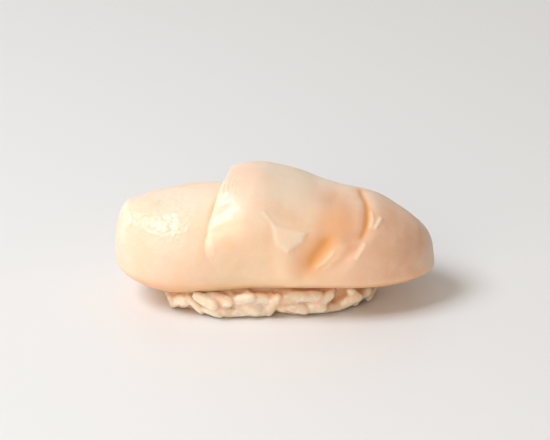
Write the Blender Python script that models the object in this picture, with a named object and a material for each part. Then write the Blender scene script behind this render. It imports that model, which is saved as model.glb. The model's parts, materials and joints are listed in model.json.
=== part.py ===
"""Scallop nigiri: a raw scallop, opened flat and draped over a hand-pressed block of sushi rice.

X runs along the piece, the front faces -Y and +Z is up. The origin is on the plate, under the
middle. Sizes are millimetres, and the meshes are made in metres. A place on the scallop's skin is
(x, angle): the angle goes round the piece from its crest, with the front at -90 degrees.
"""

import itertools
import math

import bmesh
import bpy
import numpy as np
from mathutils import Euler, Matrix, Vector
from mathutils.bvhtree import BVHTree

MM = 0.001

# The bare drape of the scallop: stations are (x, value) along the piece.
LEFT_TIP = -37.7
RIGHT_TIP = 37.8
CREST_HEIGHT = ((-37.7, 22.4), (-28, 25.4), (-18, 27.3), (0, 26.8), (18, 26.7), (26, 23.6), (32, 19.8), (37.8, 15.8))
HALF_WIDTH = ((-37.7, 14.0), (-22, 15.6), (-8, 15.2), (6, 15.8), (22, 14.6), (30, 12.6), (37.8, 10.0))
WAIST_HEIGHT = ((-37.7, 10.4), (-25, 12.0), (0, 12.5), (22, 11.0), (37.8, 8.6))
UNDERSIDE_HEIGHT = ((-37.7, 6.5), (-29, 4.2), (-14, 4.0), (-4, 5.2), (12, 5.8), (25, 5.4), (37.8, 5.8))
END_SQUARENESS_ABOVE = 30
END_SQUARENESS_BELOW = 9
PLAN_SQUARENESS = 5
SECTION_SQUARENESS = 2.3
SKIN_PER_DEGREE = 0.3

# The upper lobe, which lies on the left one. Its edge and thickness go by the angle, and its hump
# by the distance in from that edge.
LOBE_EDGE_X = ((-105, -10.5), (-85, -14.0), (-65, -16.6), (-45, -16.2), (-16, -14.3), (4, -11.4), (60, -7), (110, -5))
LOBE_THICKNESS = ((-112, 0), (-90, 0.9), (-65, 2.3), (-35, 3.1), (0, 3.9), (45, 3.4), (80, 2.0), (112, 0))
LOBE_HUMP = ((0, 0), (1.5, 1.1), (4, 1.4), (8, 1.45), (11, 1.3), (16.5, 0.88), (22, 0.3), (26, 0.04), (30, 0))

# Folds in the skin: a path over it, how far it is raised (sunk when negative) and its half-width.
FOLDS = {
    "slit between the lobes": (((20.4, 30), (20.2, 3), (21.3, -20), (20.9, -44), (18.8, -62)), -1.3, 1.2),
    "slit running on": (((18.8, -62), (15.0, -76), (12.5, -84)), -0.5, 1.6),
    "shoulder right of the slit": (((22.9, 20), (23.3, -10), (24.0, -30), (22.6, -50), (20.4, -68)), 0.5, 1.9),
    "valley": (((13.1, -50), (12.1, -60), (8.8, -73), (6.7, -87), (5.3, -108)), -2.3, 2.2),
    "fold edge": (((14.6, -64), (10.8, -78), (8.6, -90), (8.2, -104)), 1.1, 1.5),
    "hollow": (((1.2, -31), (5.4, -36)), -1.3, 3.3),
    "flap": (((-2.2, -37), (1.8, -54), (5.6, -53), (8.4, -54)), 0.7, 2.0),
    "soft ridge": (((2.4, -66), (3.1, -84), (3.6, -108)), 0.7, 2.4),
    "soft dip": (((12.4, -14), (12.6, -32), (12.8, -50)), -0.9, 3.4),
    "pale bump": (((16.4, -12), (17.0, -30), (16.2, -48)), 0.3, 2.4),
    "crease at the back": (((13.5, 44), (10.8, 70), (9.0, 100)), -1.5, 2.2),
    "bulge at the back": (((-18, 60), (-24, 72)), 0.8, 5.0),
}

# The mesh of the drape: rings along the piece, points round each, and the share of those points
# that the outside gets. The rest are underneath, where the rice hides them. Rings near the upper
# lobe's edge bend to run along it, up to BEND_REACH away.
DRAPE_RINGS = 60
DRAPE_POINTS = 52
OUTSIDE_ANGLE = 128
OUTSIDE_POINTS = 45
BEND_AT = -13.0
BEND_REACH = 22.0

# The block of rice: a squarish oval block, cut flat where it stands.
RICE_MIDDLE = (-1.8, -0.5, 8.5)
RICE_HALF_LENGTH = 24.8
RICE_HALF_WIDTH = 11.3
RICE_ABOVE = 9.8
RICE_BELOW = 9.8
RICE_PLAN_SQUARENESS = 2.9
RICE_SIDE_SQUARENESS = 4.4
RICE_TURN = 4.0
RICE_RINGS = 14
RICE_POINTS = 36
GAP_UNDER_DRAPE = 0.35

# One cooked short grain, and how the grains lie round the foot of the block.
GRAIN_LENGTH = 6.7
GRAIN_WIDTH = 2.9
GRAIN_THICKNESS = 2.5
GRAIN_SIDES = 6
GRAIN_RINGS = 4
GRAIN_SINK = 0.35
GRAIN_SIZES = (1.0, 0.85, 0.7)
GRAIN_PUSHES = (0.0, 0.4, 0.8, 1.2, 1.6)
GRAIN_ROWS = ((1.6, 36), (3.8, 36), (6.0, 28))
SEED = 11

# Grains that show at the front: x, height, and lean in degrees, rising to the right when positive.
FRONT_GRAINS = (
    (-26.0, 2.6, -60), (-24.0, 3.6, -54), (-21.8, 2.6, -52), (-19.6, 3.6, -47), (-20.6, 5.8, -10),
    (-16.6, 5.7, -15), (-17.6, 1.6, -12), (-14.4, 2.8, -4),
    (-12.4, 4.0, -30), (-9.4, 5.8, 12), (-10.2, 1.7, 4), (-6.6, 3.2, -35), (-2.6, 6.0, -4),
    (-3.2, 1.7, 6), (-0.6, 3.9, 68), (3.2, 5.6, 18), (4.9, 2.5, -14), (8.9, 2.2, 8),
    (7.4, 5.0, 4), (11.4, 5.6, 12), (13.3, 3.6, 40), (16.9, 5.6, 8), (16.4, 2.2, -12),
    (19.6, 3.4, 30), (21.9, 2.0, 20),
)  # fmt: skip
FRONT_REACH = (-26.0, 22.5)

SCALLOP_COLOUR = (0.90, 0.66, 0.46, 1.0)
RICE_COLOUR = (0.86, 0.74, 0.60, 1.0)


def profile(stations, at):
    """Smooth curve through (place, value) stations, level beyond the first and the last."""
    places, values = np.array(stations, float).T
    slopes = np.gradient(values, places)
    first = np.clip(np.searchsorted(places, at) - 1, 0, len(places) - 2)
    span = places[first + 1] - places[first]
    t = np.clip((at - places[first]) / span, 0, 1)
    return (
        (1 + 2 * t) * (1 - t) ** 2 * values[first]
        + t * (1 - t) ** 2 * span * slopes[first]
        + t * t * (3 - 2 * t) * values[first + 1]
        + t * t * (t - 1) * span * slopes[first + 1]
    )


def squared(value, squareness):
    """Sine or cosine of a superellipse: 2 is round, and more is squarer."""
    return np.sign(value) * np.abs(value) ** (2 / squareness)


def rounded_end(along, squareness):
    """Share of the full size at a share of the way to the tip."""
    return np.sqrt(np.clip(1 - along**squareness, 0, 1))


def bare_drape(x, angle):
    """Points of the drape without its lobe and folds, as an array of (x, y, z) rows."""
    along = np.abs(np.where(x < 0, x / LEFT_TIP, x / RIGHT_TIP))
    plan_end = rounded_end(along, PLAN_SQUARENESS)
    waist = profile(WAIST_HEIGHT, x)
    above = (profile(CREST_HEIGHT, x) - waist) * rounded_end(along, END_SQUARENESS_ABOVE)
    below = (waist - profile(UNDERSIDE_HEIGHT, x)) * rounded_end(along, END_SQUARENESS_BELOW)
    across = squared(np.sin(np.radians(angle)), SECTION_SQUARENESS)
    up = squared(np.cos(np.radians(angle)), SECTION_SQUARENESS)
    y = profile(HALF_WIDTH, x) * plan_end * across
    z = waist + np.where(up > 0, above, below) * up
    return np.stack([x + 0 * angle, y, z], axis=-1)


def path_distance(path, x, angle):
    """Distance over the skin from each place to a path of (x, angle) points."""
    at = np.stack([x, angle * SKIN_PER_DEGREE], axis=-1)
    marks = np.array(path, float) * (1, SKIN_PER_DEGREE)
    nearest = np.full(x.shape, np.inf)
    for start, end in zip(marks[:-1], marks[1:]):
        leg = end - start
        t = np.clip((at - start) @ leg / (leg @ leg), 0, 1)
        nearest = np.minimum(nearest, np.linalg.norm(at - start - t[..., None] * leg, axis=-1))
    return nearest


def relief(x, angle):
    """How far the skin stands out from the bare drape at each place."""
    from_edge = x - profile(LOBE_EDGE_X, angle)
    height = profile(LOBE_THICKNESS, angle) * profile(LOBE_HUMP, from_edge)
    for path, raised, half_width in FOLDS.values():
        height = height + raised * np.exp(-((path_distance(path, x, angle) / half_width) ** 2))
    return height


def draped_surface(x, angle):
    """Points of the finished outside, which is the bare drape pushed out by its relief."""
    step = 0.05
    bare = bare_drape(x, angle)
    along = bare_drape(x + step, angle) - bare_drape(x - step, angle)
    around = bare_drape(x, angle + step) - bare_drape(x, angle - step)
    out = np.cross(along, around)
    out /= np.maximum(np.linalg.norm(out, axis=-1, keepdims=True), 1e-9)
    return bare + out * relief(x, angle)[..., None]


def mesh_object(name, points, faces):
    """Object from points in millimetres, shaded smooth."""
    mesh = bpy.data.meshes.new(name)
    mesh.from_pydata((np.array(points) * MM).tolist(), [], faces)
    made = bmesh.new()
    made.from_mesh(mesh)
    bmesh.ops.recalc_face_normals(made, faces=made.faces)
    made.to_mesh(mesh)
    made.free()
    mesh.shade_smooth()
    obj = bpy.data.objects.new(name, mesh)
    bpy.context.scene.collection.objects.link(obj)
    return obj


def capped_rings(name, rings, first, last):
    """Closed object from rings of points, with a single point beyond each end ring."""
    count = len(rings[0])
    points = [p for ring in rings for p in ring] + [first, last]
    faces = []
    for r in range(len(rings) - 1):
        for k in range(count):
            here, following = r * count + k, r * count + (k + 1) % count
            faces.append((here, following, following + count, here + count))
    end = (len(rings) - 1) * count
    for k in range(count):
        following = (k + 1) % count
        faces.append((following, k, len(points) - 2))
        faces.append((end + k, end + following, len(points) - 1))
    return mesh_object(name, points, faces)


def finish(obj, colour, roughness):
    """Gives the object its own plain material."""
    material = bpy.data.materials.new(obj.name)
    material.use_nodes = True
    shader = material.node_tree.nodes["Principled BSDF"]
    shader.inputs["Base Color"].default_value = colour
    shader.inputs["Roughness"].default_value = roughness
    shader.inputs["Metallic"].default_value = 0.0
    obj.data.materials.append(material)


def make_drape():
    """The scallop as a solid lump, before the rice is cut out of its underside."""
    even = np.linspace(-1, 1, DRAPE_RINGS + 2)[1:-1]
    middle, half = (LEFT_TIP + RIGHT_TIP) / 2, (RIGHT_TIP - LEFT_TIP) / 2
    stations = middle + half * (1.12 * even - 0.12 * even**9)
    outside = np.linspace(-OUTSIDE_ANGLE, OUTSIDE_ANGLE, OUTSIDE_POINTS)
    beneath = np.linspace(OUTSIDE_ANGLE, 360 - OUTSIDE_ANGLE, DRAPE_POINTS - OUTSIDE_POINTS + 2)[1:-1]
    angles = np.concatenate([outside, np.where(beneath > 180, beneath - 360, beneath)])
    x, angle = np.meshgrid(stations, angles, indexing="ij")
    away = np.clip(np.abs(x - BEND_AT) / BEND_REACH, 0, 1)
    x = x + (profile(LOBE_EDGE_X, angle) - BEND_AT) * (1 - away) ** 2 * (1 + 2 * away)
    rings = draped_surface(x, angle)
    left_tip, right_tip = bare_drape(np.array([LEFT_TIP, RIGHT_TIP]), np.zeros(2))
    return capped_rings("scallop", rings, left_tip, right_tip)


def rice_point(turn, rise, grow=0.0):
    """Point of the rice block: turn is round it from +X and rise is up from its waist, in radians."""
    around = np.abs(np.cos(rise)) ** (2 / RICE_SIDE_SQUARENESS)
    x = (RICE_HALF_LENGTH + grow) * around * squared(np.cos(turn), RICE_PLAN_SQUARENESS)
    y = (RICE_HALF_WIDTH + grow) * around * squared(np.sin(turn), RICE_PLAN_SQUARENESS)
    tall = RICE_ABOVE + grow if rise > 0 else RICE_BELOW + grow
    z = tall * squared(np.sin(rise), RICE_SIDE_SQUARENESS)
    turned = Matrix.Rotation(math.radians(RICE_TURN), 3, "Z") @ Vector((x, y, z))
    return turned + Vector(RICE_MIDDLE)


def rise_to(height):
    """The rise at which the rice block is this high above the plate."""
    up = height - RICE_MIDDLE[2]
    tall = RICE_ABOVE if up > 0 else RICE_BELOW
    return math.asin(math.copysign(abs(up / tall) ** (RICE_SIDE_SQUARENESS / 2), up))


def make_rice_block(name, grow, foot):
    """The bare block of rice, standing on a flat face at the height foot."""
    lowest = rise_to(foot)
    rises = np.linspace(lowest, math.pi / 2, RICE_RINGS + 1)[:-1]
    turns = np.linspace(0, 2 * math.pi, RICE_POINTS + 1)[:-1]
    rings = [[rice_point(turn, rise, grow) for turn in turns] for rise in rises]
    for point in rings[0]:
        point.z = foot
    bottom = Vector((RICE_MIDDLE[0], RICE_MIDDLE[1], foot))
    return capped_rings(name, rings, bottom, rice_point(0, math.pi / 2, grow))


def wall_turn(x):
    """The turn at which the front of the rice block passes x."""
    turns = np.linspace(-math.pi + 0.01, -0.01, 400)
    places = [rice_point(turn, 0.0).x for turn in turns]
    return float(np.interp(x, places, turns))


def even_turns(shares):
    """The turns at these shares of the way round the block's wall."""
    turns = np.linspace(0, 2 * math.pi, 721)
    wall = np.array([rice_point(turn, 0.0) for turn in turns])
    along = np.concatenate([[0], np.cumsum(np.linalg.norm(np.diff(wall, axis=0), axis=1))])
    return np.interp(shares, along / along[-1], turns)


def grain_frame(turn, rise, lean, sink):
    """Matrix that lays a grain on the block's side, its length leaning from level."""
    step = 0.01
    at = rice_point(turn, rise)
    level = (rice_point(turn + step, rise) - rice_point(turn - step, rise)).normalized()
    up = rice_point(turn, rise + step) - rice_point(turn, rise - step)
    out = level.cross(up).normalized()
    upward = out.cross(level)
    turned = Matrix.Rotation(math.radians(lean), 3, out)
    along, across = turned @ level, turned @ upward
    frame = Matrix((along, across, out)).transposed().to_4x4()
    frame.translation = at + out * (GRAIN_THICKNESS / 2 - sink)
    return frame


def grain_mesh():
    """One grain: a plump bean-shaped ellipsoid with few sides, its length along X."""
    made = bmesh.new()
    bmesh.ops.create_uvsphere(made, u_segments=GRAIN_SIDES, v_segments=GRAIN_RINGS, radius=0.5)
    bmesh.ops.rotate(made, verts=made.verts, matrix=Euler((0, math.pi / 2, 0)).to_matrix())
    for vert in made.verts:
        plump = 1 + 0.5 * abs(vert.co.x)
        vert.co.y *= GRAIN_WIDTH * plump
        vert.co.z = vert.co.z * GRAIN_THICKNESS * plump - 0.9 * vert.co.x**2
        vert.co.x *= GRAIN_LENGTH
    mesh = bpy.data.meshes.new("grain")
    made.to_mesh(mesh)
    made.free()
    return mesh


def placed_points(mesh, frame, size):
    """The grain's points in its place, as vectors in millimetres."""
    return [frame @ (v.co * size) for v in mesh.vertices]


def crosses(points, mesh, tree):
    """Whether a grain with these points, grown by the gap, meets the scallop."""
    centre = sum(points, Vector()) / len(points)
    grown = [(p + (p - centre).normalized() * GAP_UNDER_DRAPE) * MM for p in points]
    faces = [tuple(f.vertices) for f in mesh.polygons]
    return bool(BVHTree.FromPolygons(grown, faces).overlap(tree))


def settle(mesh, turn, rise, lean, sink, tree):
    """Points of a grain on the plate or above it and clear of the scallop, or None if it won't go."""
    for size, deeper in itertools.product(GRAIN_SIZES, GRAIN_PUSHES):
        points = placed_points(mesh, grain_frame(turn, rise, lean, sink + deeper), size)
        lift = max(0.0, 0.05 - min(p.z for p in points))
        points = [p + Vector((0, 0, lift)) for p in points]
        if not crosses(points, mesh, tree):
            return points
    return None


def front_places():
    """Turn, rise, lean and sink of each grain that the front shows."""
    for x, height, lean in FRONT_GRAINS:
        yield wall_turn(x), rise_to(height), lean, GRAIN_SINK


def scattered_places(random):
    """The same for the grains round the rest of the block, evenly spaced in rows."""
    for height, count in GRAIN_ROWS:
        shares = (np.arange(count) + random.uniform(0.2, 0.8, count)) / count
        for turn in even_turns(shares):
            rise = rise_to(height + random.uniform(-0.6, 0.6))
            lean = random.uniform(-70, 70)
            sink = GRAIN_SINK + random.uniform(-0.15, 0.5)
            at = rice_point(turn, rise)
            if at.y > 0 or not FRONT_REACH[0] < at.x < FRONT_REACH[1]:
                yield turn, rise, lean, sink


def keep_largest_shell(obj):
    """Drops loose scraps and fills hollows that the fusing sealed, which are shells of their own."""
    made = bmesh.new()
    made.from_mesh(obj.data)
    left = set(made.verts)
    shells = []
    while left:
        shell, edge = set(), [left.pop()]
        while edge:
            vert = edge.pop()
            shell.add(vert)
            near = {e.other_vert(vert) for e in vert.link_edges} & left
            left -= near
            edge.extend(near)
        shells.append(shell)
    largest = max(shells, key=len)
    extra = [v for shell in shells if shell is not largest for v in shell]
    bmesh.ops.delete(made, geom=extra, context="VERTS")
    made.to_mesh(obj.data)
    made.free()


def make_rice(tree):
    """The block with its grains fused on."""
    block = make_rice_block("rice", 0.0, 0.0)
    grains = bpy.data.collections.new("grains")
    bpy.context.scene.collection.children.link(grains)
    mesh = grain_mesh()
    faces = [tuple(f.vertices) for f in mesh.polygons]
    random = np.random.default_rng(SEED)
    for place in [*front_places(), *scattered_places(random)]:
        points = settle(mesh, *place, tree)
        if points:
            grain = mesh_object("grain", points, faces)
            bpy.context.scene.collection.objects.unlink(grain)
            grains.objects.link(grain)
    union = block.modifiers.new("fused grains", "BOOLEAN")
    union.operation = "UNION"
    union.operand_type = "COLLECTION"
    union.collection = grains
    union.solver = "MANIFOLD"
    bpy.context.view_layer.objects.active = block
    bpy.ops.object.modifier_apply(modifier=union.name)
    for grain in list(grains.objects):
        bpy.data.objects.remove(grain)
    bpy.data.collections.remove(grains)
    keep_largest_shell(block)
    return block


def hollow_out(drape):
    """Cuts the rice block's shape, with a small gap, out of the scallop's underside."""
    cutter = make_rice_block("rice hollow", GAP_UNDER_DRAPE, -0.5)
    cutter.hide_render = True
    cutter.display_type = "WIRE"
    cut = drape.modifiers.new("hollow for the rice", "BOOLEAN")
    cut.operation = "DIFFERENCE"
    cut.object = cutter
    cut.solver = "EXACT"


def centre_over_origin(nodes):
    """Moves everything so that the middle of the nodes' bounding box is over the origin."""
    graph = bpy.context.evaluated_depsgraph_get()
    corners = np.array([v.co for n in nodes for v in n.evaluated_get(graph).data.vertices])
    middle = (corners.min(axis=0) + corners.max(axis=0)) / 2
    for obj in bpy.data.objects:
        obj.location = (-middle[0], -middle[1], 0)


def clear_scene():
    """Removes whatever the scene holds."""
    for obj in list(bpy.data.objects):
        bpy.data.objects.remove(obj)


def main():
    clear_scene()
    scallop = make_drape()
    hollow_out(scallop)
    finish(scallop, SCALLOP_COLOUR, 0.25)
    graph = bpy.context.evaluated_depsgraph_get()
    rice = make_rice(BVHTree.FromObject(scallop, graph))
    finish(rice, RICE_COLOUR, 0.4)
    centre_over_origin((scallop, rice))


main()
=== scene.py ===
"""Scallop nigiri sushi: the looks of a raw scallop draped over a hand-pressed block of rice.

The forms are worked out in millimetres, with X along the piece, the front at -Y and Z up, and they
are the ones that the solids have, with finer relief. A place on the scallop's skin is (x, angle):
the angle goes round the piece from its crest, with the front at -90 degrees.
"""

import json
import logging
import math
from collections.abc import Iterator
from dataclasses import dataclass, field
from enum import Enum

import bmesh
import bpy
import numpy as np
from bpy.types import Material, Mesh, NodeSocket, Object, World
from mathutils import Matrix, Vector, noise
from mathutils.bvhtree import BVHTree
from mathutils.kdtree import KDTree

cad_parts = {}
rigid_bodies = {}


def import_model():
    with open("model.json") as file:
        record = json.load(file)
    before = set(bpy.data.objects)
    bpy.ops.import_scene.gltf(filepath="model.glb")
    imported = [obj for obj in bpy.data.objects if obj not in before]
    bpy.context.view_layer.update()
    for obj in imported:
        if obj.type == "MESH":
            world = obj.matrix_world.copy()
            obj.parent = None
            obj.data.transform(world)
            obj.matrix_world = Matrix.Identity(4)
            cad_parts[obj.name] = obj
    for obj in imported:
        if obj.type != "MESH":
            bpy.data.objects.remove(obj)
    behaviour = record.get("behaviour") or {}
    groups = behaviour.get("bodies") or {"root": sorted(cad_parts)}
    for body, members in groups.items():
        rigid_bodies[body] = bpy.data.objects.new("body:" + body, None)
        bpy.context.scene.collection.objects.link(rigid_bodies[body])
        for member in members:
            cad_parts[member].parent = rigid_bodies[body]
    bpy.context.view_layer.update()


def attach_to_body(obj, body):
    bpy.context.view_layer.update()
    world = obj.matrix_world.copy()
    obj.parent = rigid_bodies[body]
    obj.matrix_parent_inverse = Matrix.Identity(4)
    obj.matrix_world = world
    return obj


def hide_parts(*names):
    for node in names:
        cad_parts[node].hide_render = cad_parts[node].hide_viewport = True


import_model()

log = logging.getLogger("nigiri")

MM = 0.001
MIDDLE = Vector((0.05, 0.553, 0.0))
SKIN_PER_DEGREE = 0.3
LIT_POINT = Vector((0.0, 0.0, 0.012))

Array = np.ndarray
Colour = tuple[float, float, float, float]
Curve = tuple[tuple[float, float], ...]
Triple = tuple[float, float, float]


class Spread(Enum):
    """How a set of grains lies on the block, and how deep each grain sinks in, in millimetres."""

    PLACED = 0.5
    ROWS = 0.6
    PRESSED = 1.2


def deselect_all() -> None:
    """Leaves nothing selected, so that the next operator acts only on what it makes."""
    bpy.ops.object.select_all(action="DESELECT")


def only(obj: Object) -> None:
    """Makes the object the one that is selected and active.

    Args:
        obj: The object.
    """
    deselect_all()
    obj.select_set(True)
    bpy.context.view_layer.objects.active = obj


def sphere(name: str, segments: int, rings: int) -> Object:
    """Adds a unit sphere with its poles on the X axis.

    Args:
        name: The object's name.
        segments: Points round the X axis.
        rings: Bands from pole to pole.

    Returns:
        The sphere, at the origin and unturned.
    """
    deselect_all()
    bpy.ops.mesh.primitive_uv_sphere_add(segments=segments, ring_count=rings)
    obj = bpy.context.active_object
    obj.name = obj.data.name = name
    obj.data.transform(Matrix.Rotation(math.pi / 2, 4, "Y"))
    bpy.ops.object.shade_smooth()
    return obj


def read_points(mesh: Mesh) -> Array:
    """Reads where a mesh's points are.

    Args:
        mesh: The mesh.

    Returns:
        (x, y, z) rows.
    """
    points = np.empty(len(mesh.vertices) * 3, np.float32)
    mesh.vertices.foreach_get("co", points)
    return points.reshape(-1, 3).astype(float)


def write_points(mesh: Mesh, points: Array) -> None:
    """Moves the mesh's points to these (x, y, z) rows."""
    mesh.vertices.foreach_set("co", points.astype(np.float32).ravel())
    mesh.update()


def store(mesh: Mesh, name: str, values: Array) -> None:
    """Stores a number on each of the mesh's points, for the material."""
    attribute = mesh.attributes.new(name, "FLOAT", "POINT")
    attribute.data.foreach_set("value", values.astype(np.float32))


def face_out(obj: Object) -> None:
    """Turns the faces of a closed mesh outwards.

    Args:
        obj: The mesh's object.
    """
    only(obj)
    bpy.ops.object.mode_set(mode="EDIT")
    bpy.ops.mesh.select_all(action="SELECT")
    bpy.ops.mesh.normals_make_consistent(inside=False)
    bpy.ops.object.mode_set(mode="OBJECT")


def drop_loose(obj: Object) -> None:
    """Deletes what isn't joined to the mesh's highest point, such as a bubble inside it.

    Args:
        obj: The mesh's object.
    """
    only(obj)
    bpy.ops.object.mode_set(mode="EDIT")
    bpy.ops.mesh.select_all(action="DESELECT")
    bpy.ops.object.mode_set(mode="OBJECT")
    max(obj.data.vertices, key=lambda vertex: vertex.co.z).select = True
    bpy.ops.object.mode_set(mode="EDIT")
    bpy.ops.mesh.select_linked()
    bpy.ops.mesh.select_all(action="INVERT")
    bpy.ops.mesh.delete(type="VERT")
    bpy.ops.object.mode_set(mode="OBJECT")


def apply_modifier(obj: Object, kind: str, **settings: object) -> None:
    """Adds a modifier and applies it.

    Args:
        obj: The object to change.
        kind: The modifier's type.
        settings: The modifier's properties.
    """
    only(obj)
    modifier = obj.modifiers.new(kind.lower(), kind)
    for name, setting in settings.items():
        setattr(modifier, name, setting)
    bpy.ops.object.modifier_apply(modifier=modifier.name)


def cut_away(obj: Object, tool: Object) -> None:
    """Cuts a closed tool out of the object, and removes the tool."""
    apply_modifier(obj, "BOOLEAN", operation="DIFFERENCE", object=tool, solver="MANIFOLD")
    bpy.data.objects.remove(tool)


def profile(stations: Curve, at: Array) -> Array:
    """Smooth curve through stations, level beyond the first and the last.

    Args:
        stations: (place, value) pairs in rising order of place.
        at: Places to read.

    Returns:
        The curve's value at each place.
    """
    places, values = np.array(stations, float).T
    slopes = np.gradient(values, places)
    first = np.clip(np.searchsorted(places, at) - 1, 0, len(places) - 2)
    span = places[first + 1] - places[first]
    t = np.clip((at - places[first]) / span, 0, 1)
    return (
        (1 + 2 * t) * (1 - t) ** 2 * values[first]
        + t * (1 - t) ** 2 * span * slopes[first]
        + t * t * (3 - 2 * t) * values[first + 1]
        + t * t * (t - 1) * span * slopes[first + 1]
    )


def squared(value: Array, squareness: float) -> Array:
    """Sine or cosine of a superellipse: a squareness of 2 is round, and more is squarer."""
    return np.sign(value) * np.abs(value) ** (2 / squareness)


def rounded_end(along: Array, squareness: float) -> Array:
    """Share of the full size at a share of the way to the tip."""
    return np.sqrt(np.clip(1 - along**squareness, 0, 1))


def smooth_step(low: float, high: float, value: Array) -> Array:
    """0 below low, 1 above high, and a smooth climb between them."""
    t = np.clip((value - low) / (high - low), 0, 1)
    return t * t * (3 - 2 * t)


def along_path(path: Curve, x: Array, angle: Array) -> tuple[Array, Array]:
    """Where each place lies beside a path on the skin.

    Args:
        path: (x, angle) points.
        x: Places along the piece.
        angle: Angles round it.

    Returns:
        The distances to the path in millimetres, and the shares of the way along it, from 0 to 1.
    """
    at = np.stack([x, angle * SKIN_PER_DEGREE], axis=-1)
    marks = np.array(path, float) * (1, SKIN_PER_DEGREE)
    nearest, share = np.full(x.shape, np.inf), np.zeros(x.shape)
    for leg_number, (start, end) in enumerate(zip(marks[:-1], marks[1:])):
        leg = end - start
        t = np.clip((at - start) @ leg / (leg @ leg), 0, 1)
        away = np.linalg.norm(at - start - t[..., None] * leg, axis=-1)
        share = np.where(away < nearest, (leg_number + t) / (len(marks) - 1), share)
        nearest = np.minimum(nearest, away)
    return nearest, share


def inside_outline(outline: Curve, x: Array, angle: Array) -> Array:
    """How far each place is inside a convex outline on the skin, negative outside it.

    Args:
        outline: (x, angle) corners, in order round it.
        x: Places along the piece.
        angle: Angles round it.

    Returns:
        The distances in millimetres.
    """
    marks = np.array(outline, float) * (1, SKIN_PER_DEGREE)
    middle = marks.mean(axis=0)
    at = np.stack([x, angle * SKIN_PER_DEGREE], axis=-1)
    depth = np.full(x.shape, np.inf)
    for start, end in zip(marks, np.roll(marks, -1, axis=0)):
        leg = (end - start) / np.linalg.norm(end - start)
        inward = np.array((-leg[1], leg[0]))
        inward *= np.sign((middle - start) @ inward)
        depth = np.minimum(depth, (at - start) @ inward)
    return depth


def roughness_of(points: Array, size: float, seed: float) -> Array:
    """Smooth noise between about -1 and 1 at each point.

    Args:
        points: (x, y, z) rows in millimetres.
        size: Width of its lumps in millimetres.
        seed: Picks the pattern.

    Returns:
        One value for each point.
    """
    places = points / size + seed
    return np.array([noise.noise(Vector(p)) for p in places])


class Value:
    """A shader socket that Python's arithmetic works on, by adding Math nodes."""

    def __init__(self, graph: "Graph", socket: NodeSocket) -> None:
        """Wraps an output socket of the graph."""
        self.graph = graph
        self.socket = socket

    def _with(self, operation: str, *values: "Value | float") -> "Value":
        """A Math node over these values."""
        return self.graph.node("ShaderNodeMath", {"operation": operation}, dict(enumerate(values)))

    def __add__(self, other: "Value | float") -> "Value":
        """Self plus other."""
        return self._with("ADD", self, other)

    def __radd__(self, other: float) -> "Value":
        """Other plus self."""
        return self._with("ADD", other, self)

    def __sub__(self, other: "Value | float") -> "Value":
        """Self minus other."""
        return self._with("SUBTRACT", self, other)

    def __rsub__(self, other: float) -> "Value":
        """Other minus self."""
        return self._with("SUBTRACT", other, self)

    def __mul__(self, other: "Value | float") -> "Value":
        """Self times other."""
        return self._with("MULTIPLY", self, other)

    def __rmul__(self, other: float) -> "Value":
        """Other times self."""
        return self._with("MULTIPLY", other, self)

    def clamped(self) -> "Value":
        """Self held between 0 and 1."""
        return self.graph.node("ShaderNodeClamp", {}, {"Value": self})

    def ramp(self, low: float, high: float) -> "Value":
        """A smooth climb from 0 at low to 1 at high."""
        inputs = {"Value": self, "From Min": low, "From Max": high}
        return self.graph.node("ShaderNodeMapRange", {"interpolation_type": "SMOOTHSTEP"}, inputs)


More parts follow.
